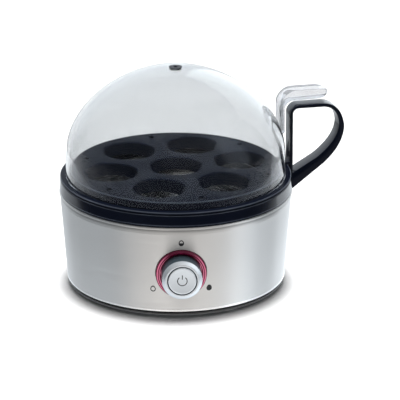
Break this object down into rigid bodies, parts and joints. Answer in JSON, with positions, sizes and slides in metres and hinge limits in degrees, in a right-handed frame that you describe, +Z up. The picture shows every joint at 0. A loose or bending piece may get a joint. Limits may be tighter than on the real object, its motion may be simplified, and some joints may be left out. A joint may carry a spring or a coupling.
{
  "type": "egg cooker",
  "caption": "Countertop electric egg cooker: conical brushed-steel base with a lit selector knob and start button, water pan, lift-out egg rack with loop handle, and clear domed lid.",
  "frame": {"origin": "bottom centre of the whole object's bounding box, on the table surface", "axes": "+Z up; -Y towards the user, the knob's side; +X towards the handles"},
  "size_m": [0.2044, 0.1774, 0.16],
  "materials": {
    "rubber": "matt black rubber",
    "black_base": "moulded black plastic, semi-gloss",
    "black_ring": "moulded black plastic, high gloss",
    "brushed_steel": "stainless steel brushed around the body, clear satin",
    "screw_steel": "zinc-plated steel",
    "silicone": "translucent grey silicone",
    "pan_steel": "stainless steel, circular brushing",
    "aluminium": "bare aluminium",
    "element": "dull oxidised steel sheath",
    "component": "moulded black case",
    "white_plastic": "white ceramic-filled plastic",
    "brown_lead": "brown lead insulation",
    "blue_lead": "blue lead insulation",
    "red_light": "red translucent plastic light ring",
    "circuit_board": "green solder resist",
    "blue_case": "blue relay case",
    "black_rack": "moulded black plastic, high gloss",
    "black_handle": "moulded black plastic, high gloss",
    "clear_lid": "clear moulded plastic, polished",
    "clear_handle": "clear moulded plastic, polished",
    "black_vent": "black silicone bush",
    "knob_silver": "satin silver, metallised",
    "button_silver": "satin silver, fine turned face"
  },
  "bodies": {
    "base": {"foot_1": "rubber", "foot_2": "rubber", "foot_3": "rubber", "foot_4": "rubber", "base_pan": "black_base", "base_screw_1": "screw_steel", "base_screw_2": "screw_steel", "base_screw_3": "screw_steel", "steel_shell": "brushed_steel", "top_ring": "black_ring", "pan_seal": "silicone", "water_pan": "pan_steel", "heater_plate": "aluminium", "heating_element": "element", "thermostat": "component", "thermal_fuse": "white_plastic", "heat_shield": "aluminium", "shield_screw": "screw_steel", "terminal_block": "white_plastic", "lead_live": "brown_lead", "lead_neutral": "blue_lead", "board_lead_1": "brown_lead", "board_lead_2": "blue_lead", "cord_gland": "rubber", "light_ring": "red_light", "control_board": "circuit_board", "rotary_encoder": "aluminium", "relay": "blue_case", "buzzer": "component", "capacitor": "component", "led_1": "white_plastic", "led_2": "white_plastic", "led_3": "white_plastic", "led_4": "white_plastic"},
    "rack": {"egg_rack": "black_rack", "rack_handle": "black_handle"},
    "lid": {"lid_dome": "clear_lid", "lid_handle": "clear_handle", "vent_bush": "black_vent"},
    "knob": {"knob": "knob_silver", "knob_shaft": "aluminium"},
    "button": {"start_button": "button_silver"}
  },
  "joints": [
    {"name": "rack_lift", "type": "slide", "parent": "base", "child": "rack", "axis": [0, 0, 1], "range_m": [0, 0.1]},
    {"name": "lid_lift", "type": "slide", "parent": "rack", "child": "lid", "axis": [0, 0, 1], "range_m": [0, 0.12]},
    {"name": "knob_turn", "type": "hinge", "parent": "base", "child": "knob", "pos_m": [-0.01954, -0.08392, 0.0349], "axis": [0, -1, 0], "range_deg": [-122, 122]},
    {"name": "start_button_press", "type": "slide", "parent": "knob", "child": "button", "axis": [0, 1, 0], "range_m": [0, 0.0015], "stiffness_N_per_m": 150, "springref_m": -0.005}
  ]
}
